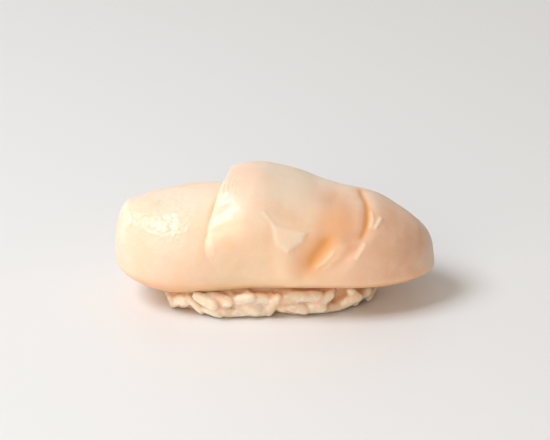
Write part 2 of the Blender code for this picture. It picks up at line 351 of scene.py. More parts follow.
class Graph:
    """The nodes of a material or a world, round its one shader."""

    def __init__(self, owner: Material | World, shader: str = "Principled BSDF") -> None:
        """Opens the nodes.

        Args:
            owner: The material or the world.
            shader: The name of its shader.
        """
        owner.use_nodes = True
        self.owner = owner
        self.nodes = owner.node_tree.nodes
        self.links = owner.node_tree.links
        self.shader = self.nodes[shader]

    def set_input(self, socket: NodeSocket, value: object) -> None:
        """Feeds a socket.

        Args:
            socket: The socket.
            value: A Value to link to it, or a plain value.
        """
        if isinstance(value, Value):
            self.links.new(value.socket, socket)
        else:
            socket.default_value = value

    def node(
        self,
        kind: str,
        settings: dict[str, object],
        inputs: dict[str | int, object],
        output: str | int = 0,
    ) -> Value:
        """Adds a node.

        Args:
            kind: The node's type.
            settings: Its properties, set before its sockets.
            inputs: Values or links, by the socket's name or number.
            output: The output socket to return.

        Returns:
            The output socket, wrapped.
        """
        made = self.nodes.new(kind)
        for name, setting in settings.items():
            setattr(made, name, setting)
        for key, value in inputs.items():
            self.set_input(made.inputs[key], value)
        return Value(self, made.outputs[output])

    def place(self) -> Value:
        """The object coordinates, in metres."""
        return self.node("ShaderNodeTexCoord", {}, {}, "Object")

    def along(self, axis: str) -> Value:
        """One object coordinate in millimetres."""
        split = self.node("ShaderNodeSeparateXYZ", {}, {"Vector": self.place()}, axis)
        return split * 1000.0

    def attribute(self, name: str) -> Value:
        """A number stored on the mesh's points."""
        return self.node("ShaderNodeAttribute", {"attribute_name": name}, {}, "Fac")

    def mottle(self, size: float, detail: float, stretch: Triple = (1, 1, 1)) -> Value:
        """Noise between 0 and 1.

        Args:
            size: Width of its lumps in millimetres.
            detail: How much finer noise lies on them.
            stretch: How much longer the lumps are along each axis.

        Returns:
            The noise.
        """
        scale = tuple(1 / s for s in stretch)
        place = self.node("ShaderNodeMapping", {}, {"Vector": self.place(), "Scale": scale})
        inputs = {"Vector": place, "Scale": 1 / (size * MM), "Detail": detail, "Roughness": 0.55}
        return self.node("ShaderNodeTexNoise", {}, inputs)

    def mix(self, share: Value, first: Value | Colour, second: Colour) -> Value:
        """A colour that goes from first to second as share goes from 0 to 1."""
        return self.node("ShaderNodeMix", {"data_type": "RGBA"}, {0: share, 6: first, 7: second}, 2)

    def layer(self, body: Value, *coats: tuple[Value, Colour]) -> Value:
        """Lays colours over one another.

        Args:
            body: The colour below them all.
            coats: (share, colour) of each one, from the lowest.

        Returns:
            The colour that shows.
        """
        for share, colour in coats:
            body = self.mix(share.clamped(), body, colour)
        return body

    def bump(self, height: Value, depth: float, strength: float, under: Value | None = None) -> Value:
        """A bumped normal.

        Args:
            height: The height, from 0 to 1.
            depth: What a height of 1 stands for, in millimetres.
            strength: How much of it to show.
            under: A normal that the bump lies on.

        Returns:
            The normal.
        """
        inputs = {"Height": height, "Distance": depth * MM, "Strength": strength}
        if under is not None:
            inputs["Normal"] = under
        return self.node("ShaderNodeBump", {}, inputs)

    def shade(self, **inputs: object) -> None:
        """Sets the shader's sockets, named with underscores for spaces."""
        for name, value in inputs.items():
            self.set_input(self.shader.inputs[name.replace("_", " ")], value)


def srgb(red: int, green: int, blue: int) -> Colour:
    """Turns an sRGB colour into a linear one.

    Args:
        red: Its red, from 0 to 255.
        green: Its green.
        blue: Its blue.

    Returns:
        The linear colour, opaque.
    """
    parts = (red / 255, green / 255, blue / 255)
    linear = [p / 12.92 if p <= 0.04045 else ((p + 0.055) / 1.055) ** 2.4 for p in parts]
    return (*linear, 1.0)


@dataclass(frozen=True)
class ScallopFlesh:
    """Wet raw scallop: pale and clouded at the left, with painted warm shade in its folds, hollows, lower
    side and under its rim, painted light on its top, and painted highlights on its glints and streaks.
    """

    left: Colour = srgb(244, 213, 189)
    middle: Colour = srgb(250, 214, 182)
    right: Colour = srgb(246, 206, 176)
    # Painted warm shade: the orange in creases, hollows, at the foot of the lobe's edge and under the rim.
    amber_shade: Colour = srgb(230, 162, 88)
    # Partly the real paler membrane and fibres, partly painted light on the top and the right tip and
    # painted highlights on glints, streaks, lips and the left corner.
    pale: Colour = srgb(254, 228, 207)
    # Painted warm shade lower down, where the flesh curves under, and random warm patches.
    low: Colour = srgb(252, 196, 140)
    # Patchy painted shade towards the right end, partly the real mottled tone there, and painted shade on
    # folds that face away from the key light.
    shade_and_mottle: Colour = srgb(220, 176, 143)
    line: Colour = srgb(240, 192, 172)
    roughness: float = 0.36
    wet_gloss: float = 0.1
    coat: float = 0.08
    ripple_coat: float = 0.3
    translucence: float = 0.9
    depth_mm: float = 3.4
    fibre_mm: float = 0.7

    def make(self) -> Material:
        """Builds the material.

        Returns:
            The material.
        """
        g = Graph(bpy.data.materials.new("scallop_flesh"))
        x = g.along("X")
        cloud = g.mottle(9.0, 2.0)
        drift = x + (cloud - 0.5) * 14.0
        height = g.along("Z") + (cloud - 0.5) * 5.0
        across = g.attribute("across") + (g.mottle(6.0, 1.0) - 0.5) * 1.8
        turns = across * (2 * math.pi / self.fibre_mm)
        stripe = g.node("ShaderNodeMath", {"operation": "SINE"}, {0: turns}) * 0.5 + 0.5
        lines = stripe * stripe * g.attribute("fibre") * g.mottle(3.0, 1.0).ramp(0.3, 0.6)
        fibre = g.mottle(1.1, 3.0, (1.0, 3.0, 1.0))
        # Painted shade: patchy darkening that grows towards the right end, where the piece turns from the
        # key light, partly real mottling, plus the painted shade stored on the folds.
        shade_and_mottle = g.mottle(7.0, 2.0).ramp(0.4, 0.7) * x.ramp(12.0, 34.0) * 0.4 + g.attribute("painted_shade")
        body = g.layer(
            g.mix(drift.ramp(-30.0, -4.0), self.left, self.middle),
            (drift.ramp(6.0, 30.0), self.right),
            # Painted shade: warmer and deeper in colour lower down.
            (height.ramp(14.0, 3.0) * 0.5, self.low),
            # Painted light: paler towards the top.
            (height.ramp(20.0, 29.0) * 0.65, self.pale),
            (fibre.ramp(0.45, 0.75) * 0.22, self.pale),
            (shade_and_mottle, self.shade_and_mottle),
            (g.mottle(7.0, 1.0).ramp(0.48, 0.72) * 0.2, self.low),
            (lines * 0.95, self.line),
            # Partly the real paler membrane of the flap and ridges, partly painted highlights on glints,
            # streaks, lips and the left corner and painted light on the right tip.
            (g.attribute("pale") * 0.75, self.pale),
            # Painted warm shade in the folds, at the foot of the lobe's edge and under the rim.
            (g.attribute("amber_shade") * 0.85, self.amber_shade),
        )
        wet = g.mottle(1.3, 1.0)
        grain = g.mottle(0.6, 0.0)
        ripple = g.attribute("ripple")
        cut_end = g.mottle(0.7, 1.0, (1.6, 1.0, 1.0)) * g.attribute("cut")
        normal = g.bump((grain * 0.5 + wet * 0.5) * ripple, 0.1, 0.35)
        normal = g.bump(lines, 0.05, 0.5, normal)
        normal = g.bump(cut_end * ripple, 0.3, 0.5, normal)
        g.shade(
            Base_Color=body,
            Roughness=self.roughness - g.attribute("wet") * self.wet_gloss,
            Normal=normal,
            IOR=1.38,
            Subsurface_Weight=self.translucence,
            Subsurface_Radius=(1.0, 0.7, 0.5),
            Subsurface_Scale=self.depth_mm * MM,
            Coat_Weight=grain.ramp(0.4, 0.68) * ripple * self.ripple_coat + self.coat,
            Coat_Roughness=0.17,
            Coat_IOR=1.38,
        )
        return g.owner


@dataclass(frozen=True)
class CookedRice:
    """Moist cooked rice, milky in places and glassy at its skin, with painted warm shade in the gaps
    between grains and painted shade towards the right.
    """

    light: Colour = srgb(246, 229, 209)
    warm: Colour = srgb(236, 208, 179)
    milky: Colour = srgb(252, 245, 235)
    shaded: Colour = srgb(228, 182, 140)
    # Painted warm shade in the gaps between grains.
    gap: Colour = srgb(222, 166, 112)
    roughness: float = 0.15
    milky_roughness: float = 0.2
    coat: float = 0.5
    translucence: float = 0.95
    depth_mm: float = 3.4

    def make(self) -> Material:
        """Builds the material.

        Returns:
            The material.
        """
        g = Graph(bpy.data.materials.new("cooked_rice"))
        milk = g.mottle(1.4, 2.0)
        body = g.layer(
            g.mix(g.mottle(4.0, 2.0).ramp(0.35, 0.65), self.light, self.warm),
            (milk.ramp(0.45, 0.7) * 0.5, self.milky),
            (g.along("X").ramp(-18.0, -4.0) * 0.15, self.shaded),
            # Painted warm shade, stronger the deeper the gap between grains.
            (g.attribute("gap") * 0.75, self.gap),
        )
        g.shade(
            Base_Color=body,
            Roughness=milk * self.milky_roughness + self.roughness,
            Normal=g.bump(g.mottle(0.9, 2.0), 0.1, 0.2),
            IOR=1.38,
            Subsurface_Weight=self.translucence,
            Subsurface_Radius=(1.0, 0.65, 0.42),
            Subsurface_Scale=self.depth_mm * MM,
            Coat_Weight=self.coat,
            Coat_Roughness=0.1,
        )
        return g.owner


@dataclass(frozen=True)
class PlainFloor:
    """A pale, faintly glossy surface."""

    colour: Colour = srgb(232, 231, 230)
    roughness: float = 0.4

    def make(self) -> Material:
        """Builds the material.

        Returns:
            The material.
        """
        g = Graph(bpy.data.materials.new("pale_floor"))
        g.shade(Base_Color=self.colour, Roughness=self.roughness, IOR=1.5)
        return g.owner


@dataclass
class RiceBlock:
    """The hand-pressed block: a squarish core, cut flat where it stands, with grains over its foot.

    A grain's place is its turn round the block and its rise up the wall, in radians, its lean from
    level in degrees, and its sink into the wall in millimetres. Each of the front's grains is given
    by its x, its height above the floor, its lean and its size as a share of a plain grain's.
    """

    middle: Triple = (-1.8, -0.5, 8.5)
    half_length: float = 24.8
    half_width: float = 11.3
    half_height: float = 9.8
    plan_squareness: float = 2.9
    side_squareness: float = 4.4
    turned: float = 4.0
    gap: float = 0.35
    root: float = -0.8
    voxel: float = 0.24
    softened: int = 3
    gap_depths: tuple[float, float] = (1.5, 0.3)
    grain_length: float = 6.9
    grain_width: float = 3.05
    grain_thickness: float = 2.65
    grain_bluntness: float = 2.8
    grain_taper: float = 0.1
    grain_bend: float = 0.35
    grain_sizes: tuple[float, float] = (0.95, 1.12)
    widest_lean: float = 75
    widest_tilt: float = 14
    floor_gap: float = 0.06
    clear_share: float = 0.9
    rows: Curve = ((1.6, 30), (3.8, 30), (6.0, 24))
    pressed_rows: Curve = ((1.6, 24), (4.0, 26), (6.4, 24))
    front_reach: tuple[float, float] = (-26.0, 22.5)
    seed: int = 11
    front: tuple[tuple[float, ...], ...] = (
        (-26.2, 2.6, -60, 1.0), (-24.2, 3.4, -62, 1.0), (-21.9, 3.1, -58, 1.1), (-19.3, 3.1, -60, 1.12),
        (-16.0, 4.9, -25, 1.0), (-12.9, 5.2, -14, 1.0), (-12.6, 3.0, -30, 1.05), (-15.4, 1.6, -8, 0.95),
        (-9.4, 1.7, 6, 1.0), (-6.4, 3.0, -22, 1.0), (-7.6, 5.3, 14, 1.0), (-2.9, 5.3, -14, 0.9),
        (-3.4, 1.7, 8, 0.95), (-0.6, 3.4, 66, 1.05), (3.6, 5.2, 8, 1.05), (7.8, 5.3, -4, 1.05),
        (4.6, 2.7, -12, 1.1), (8.9, 2.4, 12, 1.1), (11.2, 4.0, 34, 1.0), (13.6, 1.9, 2, 0.9),
        (16.0, 5.3, 14, 1.0), (17.4, 2.9, 34, 1.08), (20.3, 3.7, 36, 1.08), (22.8, 3.0, 30, 1.0),
    )

    def point(self, turn: float, rise: float, grow: float = 0.0) -> Vector:
        """Point of the block.

        Args:
            turn: Angle round it from +X, in radians.
            rise: Angle up from its waist, in radians.
            grow: How much larger than the block it is, in millimetres.

        Returns:
            The point, in millimetres.
        """
        around = abs(math.cos(rise)) ** (2 / self.side_squareness)
        x = (self.half_length + grow) * around * squared(math.cos(turn), self.plan_squareness)
        y = (self.half_width + grow) * around * squared(math.sin(turn), self.plan_squareness)
        z = (self.half_height + grow) * squared(math.sin(rise), self.side_squareness)
        turned = Matrix.Rotation(math.radians(self.turned), 3, "Z")
        return turned @ Vector((x, y, z)) + Vector(self.middle)

    def rise_to(self, height: float) -> float:
        """Finds where the block has a height.

        Args:
            height: Height above the floor, in millimetres.

        Returns:
            The rise there, in radians.
        """
        up = height - self.middle[2]
        share = abs(up / self.half_height)
        return math.asin(math.copysign(share ** (self.side_squareness / 2), up))

    def wall_turn(self, x: float) -> float:
        """The turn at which the front wall passes x."""
        turns = np.linspace(-math.pi + 0.01, -0.01, 400)
        return float(np.interp(x, [self.point(turn, 0.0).x for turn in turns], turns))

    def even_turns(self, shares: Array) -> Array:
        """Finds places spaced by length and not by angle.

        Args:
            shares: Shares of the way round the wall.

        Returns:
            The turn at each one, in radians.
        """
        turns = np.linspace(0, 2 * math.pi, 721)
        wall = np.array([self.point(turn, 0.0) for turn in turns])
        along = np.concatenate([[0], np.cumsum(np.linalg.norm(np.diff(wall, axis=0), axis=1))])
        return np.interp(shares, along / along[-1], turns)

    def make_core(self, name: str, grow: float, foot: float) -> Object:
        """Makes the bare block, closed and flat at its foot.

        Args:
            name: The object's name.
            grow: How much larger than the block it is, in millimetres.
            foot: Height of its flat face, in millimetres.

        Returns:
            The block's object.
        """
        obj = sphere(name, 96, 48)
        obj.data.transform(Matrix.Rotation(-math.pi / 2, 4, "Y"))
        points = read_points(obj.data)
        rises = np.arcsin(np.clip(points[:, 2], -1, 1))
        turns = np.arctan2(points[:, 1], points[:, 0])
        placed = np.array([self.point(turn, rise, grow) for turn, rise in zip(turns, rises)])
        write_points(obj.data, (placed - MIDDLE) * MM)
        only(obj)
        bpy.ops.object.mode_set(mode="EDIT")
        bpy.ops.mesh.select_all(action="SELECT")
        plane = {"plane_co": (0, 0, foot * MM), "plane_no": (0, 0, 1)}
        bpy.ops.mesh.bisect(**plane, use_fill=True, clear_inner=True, threshold=1e-6)
        bpy.ops.object.mode_set(mode="OBJECT")
        face_out(obj)
        return obj

    def grain_place(self, turn: float, rise: float, lean: float, sink: float) -> Matrix:
        """Works out how a grain lies on the wall.

        Args:
            turn: Its turn, in radians.
            rise: Its rise, in radians.
            lean: How far its length leans from level, in degrees.
            sink: How deep it sinks in, in millimetres.

        Returns:
            The matrix that takes it there.
        """
        step = 0.01
        at = self.point(turn, rise)
        level = (self.point(turn + step, rise) - self.point(turn - step, rise)).normalized()
        up = self.point(turn, rise + step) - self.point(turn, rise - step)
        out = level.cross(up).normalized()
        turned = Matrix.Rotation(math.radians(lean), 3, out)
        place = Matrix((turned @ level, turned @ out.cross(level), out)).transposed().to_4x4()
        place.translation = at + out * (self.grain_thickness / 2 - sink)
        return place

    def front_places(self) -> Iterator[tuple[float, ...]]:
        """Places and sizes of the grains that the front shows."""
        for x, height, lean, size in self.front:
            yield self.wall_turn(x), self.rise_to(height), lean, Spread.PLACED.value, size

    def row_places(
        self, rows: Curve, spread: Spread, random: np.random.Generator
    ) -> Iterator[tuple[float, ...]]:
        """Places and sizes of the grains in level rows round the block.

        Args:
            rows: (height, count) of each row.
            spread: How deep the grains lie. Rows leave out the front, where grains are placed.
            random: Where the variety comes from.

        Yields:
            The turn, rise, lean, sink and size of each grain.
        """
        for height, count in rows:
            shares = (np.arange(count) + random.uniform(0.2, 0.8, count)) / count
            for turn in self.even_turns(shares):
                rise = self.rise_to(height + random.uniform(-0.5, 0.5))
                lean = random.uniform(-self.widest_lean, self.widest_lean)
                sink = spread.value + random.uniform(-0.15, 0.3)
                at = self.point(turn, rise)
                at_front = at.y <= 0 and self.front_reach[0] < at.x < self.front_reach[1]
                if spread is Spread.PRESSED or not at_front:
                    yield turn, rise, lean, sink, random.uniform(*self.grain_sizes)

    def make_grain(self) -> Object:
        """Makes one grain, its length along X: plump, a little bent, and blunt at its ends.

        Returns:
            The grain's object, in millimetres.
        """
        obj = sphere("grain", 14, 11)
        points = read_points(obj.data)
        ends = np.minimum(np.abs(points[:, 0]), 0.999)
        blunt = (1 - ends**self.grain_bluntness) ** (1 / self.grain_bluntness) / np.sqrt(1 - ends**2)
        plump = 0.5 * blunt * (1 + self.grain_taper * points[:, 0])
        placed = np.stack(
            [
                points[:, 0] * self.grain_length / 2,
                points[:, 1] * self.grain_width * plump,
                points[:, 2] * self.grain_thickness * plump - self.grain_bend * points[:, 0] ** 2,
            ],
            axis=-1,
        )
        write_points(obj.data, placed)
        return obj

    def settle(self, grain: Object, place: Matrix, size: float, topping: BVHTree) -> Object | None:
        """Copies the grain to its place, above the floor and clear of the scallop.

        Args:
            grain: The grain to copy.
            place: Where it goes.
            size: How large it is, as a share of the grain's size.
            topping: The scallop's faces, in metres.

        Returns:
            The copy, or None where it won't go in.
        """
        out = place.to_3x3().col[2]
        for deeper in (0.0, 0.4, 0.8, 1.2, 1.6):
            moved = place.copy()
            moved.translation = place.translation - out * deeper
            points = [moved @ (v.co * size) for v in grain.data.vertices]
            lift = Vector((0, 0, max(0.0, self.floor_gap - min(p.z for p in points))))
            centre = moved.translation
            slim = [(centre + (p - centre) * self.clear_share + lift - MIDDLE) * MM for p in points]
            faces = [tuple(f.vertices) for f in grain.data.polygons]
            if BVHTree.FromPolygons(slim, faces).overlap(topping):
                continue
            made = grain.copy()
            made.data = grain.data.copy()
            bpy.context.scene.collection.objects.link(made)
            write_points(made.data, np.array([(p + lift - MIDDLE) * MM for p in points]))
            return made
        return None

    def make_grains(self, topping: BVHTree) -> Object:
        """Makes all the grains that show, joined.

        Args:
            topping: The scallop's faces, in metres, which no grain may cross.

        Returns:
            One object with every grain.
        """
        random = np.random.default_rng(self.seed)
        grain = self.make_grain()
        places = [
            *self.front_places(),
            *self.row_places(self.rows, Spread.ROWS, random),
            *self.row_places(self.pressed_rows, Spread.PRESSED, random),
        ]
        copies = []
        for turn, rise, lean, sink, size in places:
            place = self.grain_place(turn, rise, lean, sink)
            tilted = random.uniform(-self.widest_tilt, self.widest_tilt)
            tilt = Matrix.Rotation(math.radians(tilted), 4, "Y")
            roll = Matrix.Rotation(math.radians(random.uniform(0, 360)), 4, "X")
            made = self.settle(grain, place @ tilt @ roll, size, topping)
            if made:
                copies.append(made)
        bpy.data.objects.remove(grain)
        deselect_all()
        for made in copies:
            made.select_set(True)
        grains = copies[0]
        bpy.context.view_layer.objects.active = grains
        bpy.ops.object.join()
        grains.name = grains.data.name = "rice_grains"
        log.info("rice_grains: %d grains", len(copies))
        return grains

    def make_ground(self) -> Object:
        """Makes a slab with its top at the floor, which cuts the block flat.

        Returns:
            The slab's object.
        """
        deselect_all()
        size = Vector((120.0, 80.0, 10.0)) * MM
        bpy.ops.mesh.primitive_cube_add(size=1.0, location=(0, 0, -size.z / 2))
        ground = bpy.context.active_object
        bpy.ops.transform.resize(value=size)
        return ground

    def build(self, topping: BVHTree) -> Object:
        """Makes the block with its grains stuck together, and stores how deep each gap is.

        Args:
            topping: The scallop's faces, in metres.

        Returns:
            The block's object.
        """
        core = self.make_core("heart", 0.0, self.root)
        heart = face_tree(core)
        obj = self.make_grains(topping)
        core.select_set(True)
        obj.select_set(True)
        bpy.context.view_layer.objects.active = obj
        bpy.ops.object.join()
        apply_modifier(obj, "REMESH", mode="VOXEL", voxel_size=self.voxel * MM)
        apply_modifier(obj, "SMOOTH", iterations=self.softened)
        cut_away(obj, self.make_ground())
        drop_loose(obj)
        bpy.ops.object.shade_smooth()
        depths = np.array([heart.find_nearest(v.co)[3] for v in obj.data.vertices]) / MM
        # How deep each gap lies sets the painted warm shade in it.
        store(obj.data, "gap", smooth_step(*self.gap_depths, depths))
        return obj


HUMP_END: Curve = ((11, 1.3), (16.5, 0.88), (22, 0.3), (26, 0.04), (30, 0))


@dataclass
class Fold:
    """A crease or ridge in the skin, along a smooth path through (x, angle) points.

    Heights and half-widths are in millimetres. The warm tint says how far painted warm shade goes there,
    pale how far a paler tone goes, which is painted highlight on glints, streaks, lips and the left
    corner, painted light on the right tip and the real paler membrane elsewhere, the shade tint how far
    painted shade goes, wet how glossy and finely ripply it is, and fade over what share of its length each
    end dies away.
    """

    path: Curve
    raised: float
    half_width: float
    amber_shade: float = 0.0
    pale: float = 0.0
    painted_shade: float = 0.0
    wet: float = 0.0
    fade: float = 0.0

    def near(self, x: Array, angle: Array, spread: float = 1.0) -> Array:
        """How near each place is to the fold, from 1 on it to 0 well away.

        Args:
            x: Places along the piece.
            angle: Angles round it.
            spread: How much wider than the fold to reach.

        Returns:
            A share for each place.
        """
        steps = np.linspace(0, len(self.path) - 1, 4 * len(self.path) - 3)
        eased = [profile(tuple(enumerate(values)), steps) for values in zip(*self.path)]
        away, share = along_path(tuple(zip(*eased)), x, angle)
        near = np.exp(-((away / (self.half_width * spread)) ** 2))
        if self.fade:
            near *= smooth_step(0, self.fade, np.minimum(share, 1 - share))
        return near


def scallop_folds() -> dict[str, Fold]:
    """Lists the topping's folds.

    Returns:
        Each fold by what it is.
    """
    return {
        # The slit, its floor and its end carry painted warm shade.
        "slit": Fold(
            ((20.4, 24), (20.3, 3), (21.3, -14), (21.5, -30), (21.0, -44), (20.2, -52), (19.2, -59)),
            -0.2, 0.65, amber_shade=0.8, fade=0.16,
        ),
        "slit floor": Fold(
            ((20.4, 24), (20.3, 3), (21.3, -20), (20.9, -44), (19.6, -56)), -0.14, 1.8, amber_shade=0.2, fade=0.3
        ),
        "slit end": Fold(
            ((19.4, -58), (17.9, -68), (15.5, -77), (12.8, -84)), -0.16, 1.4, amber_shade=0.15, fade=0.3
        ),
        "left lip": Fold(
            ((18.6, 14), (18.5, 0), (19.2, -20), (19.1, -42), (17.8, -54)), 0.06, 1.2, pale=0.15, fade=0.2
        ),
        "right shoulder": Fold(
            ((23.3, 20), (23.2, -8), (24.2, -29), (23.9, -42), (22.4, -57), (20.8, -67), (18.3, -76),
             (14.5, -86)),
            0.24, 2.0, pale=0.25, fade=0.16,
        ),
        # The glints are real ridges; their paler tone is painted highlight.
        "glint by the slit": Fold(((22.5, -25), (22.7, -35), (22.2, -43)), 0.26, 0.45, pale=0.4, wet=1.0),
        "shoulder's glint": Fold(((24.7, -31), (24.0, -37), (23.3, -43)), 0.34, 0.5, pale=0.6, wet=1.0),
        "lower glint": Fold(((20.7, -61), (19.8, -68), (19.0, -73)), 0.28, 0.5, pale=0.4, wet=1.0),
        # The valley, its heart and its side carry painted warm shade.
        "valley": Fold(
            ((14.2, -44), (12.8, -57), (9.9, -72), (7.8, -81), (6.0, -94)),
            -0.16, 1.8, amber_shade=0.34, fade=0.35,
        ),
        "valley heart": Fold(
            ((13.4, -50), (11.8, -62), (9.6, -73), (6.6, -88)), -0.24, 1.5, amber_shade=0.5, fade=0.4
        ),
        "valley side": Fold(((13.4, -38), (11.8, -54), (9.2, -70), (8.0, -79)), -0.3, 3.7, amber_shade=0.45),
        # Painted highlight along the fold's edge and its streaks.
        "fold edge": Fold(((15.6, -65), (12.2, -77), (9.4, -87), (8.6, -102)), 0.1, 1.3, pale=0.2),
        "streak": Fold(((14.4, -65), (12.0, -76), (9.2, -85)), 0.16, 0.45, pale=0.4, wet=1.0, fade=0.25),
        "lower streak": Fold(
            ((15.6, -70), (13.0, -80), (10.2, -88)), 0.1, 0.45, pale=0.3, wet=0.8, fade=0.25
        ),
        # Painted warm shade in the hollow.
        "hollow": Fold(((-1.2, -34), (2.2, -36), (5.0, -40)), -0.1, 2.2, amber_shade=0.2),
        # Painted highlight along the flap's line.
        "flap line": Fold(((-2.6, -38), (-0.2, -47)), 0.16, 0.4, pale=0.6, wet=0.6),
        "soft ridge": Fold(((2.6, -72), (3.1, -84), (3.6, -107)), 0.35, 2.4, pale=0.25),
        # The next three carry painted shade: where the crown slopes away to the right, on the right end's
        # side, and over the brightly lit shoulder.
        "dull side": Fold(((14.2, -14), (16.0, -30), (16.8, -52)), -0.1, 4.2, painted_shade=0.85),
        "brown side": Fold(((30.0, -28), (33.0, -46)), 0.0, 4.5, amber_shade=0.06, painted_shade=0.25),
        "lit shoulder": Fold(((-9.2, -2), (-9.8, -22)), 0.0, 4.5, painted_shade=0.3),
        "wet shoulder": Fold(((-10.6, -22), (-11.8, -37)), 0.0, 3.2, wet=0.6),
        "wet lobe": Fold(((-28.0, -30), (-22.5, -50)), 0.0, 4.0, wet=0.5),
        # Painted highlight on the wet lip and the wet end.
        "wet lip": Fold(((-14.6, -45), (-14.9, -58), (-14.4, -70)), 0.08, 1.1, pale=0.5, wet=0.8),
        "wet end": Fold(((-34.0, -20), (-33.8, -44)), 0.12, 1.1, pale=0.3, wet=0.9),
        # Painted light on the right tip, which faces away from the key light.
        "pale tip": Fold(((36.6, 20), (36.9, -30), (36.4, -78)), 0.0, 2.8, pale=0.8),
        # Painted warm shade along the line near the right tip.
        "tip line": Fold(
            ((34.0, 12), (34.7, -25), (34.6, -55), (33.4, -82)), -0.12, 0.7, amber_shade=0.2, fade=0.4
        ),
        # Painted highlight along the left end's corner.
        "end corner": Fold(((-34.6, 42), (-34.9, 10), (-35.0, -30), (-35.4, -62)), 0.25, 0.9, pale=0.3),
        # Painted warm shade in the crease at the back.
        "back crease": Fold(((13.5, 44), (10.8, 70), (9.0, 100)), -1.2, 2.2, amber_shade=0.35, fade=0.4),
        "back bulge": Fold(((-18, 60), (-24, 72)), 0.8, 5.0),
    }


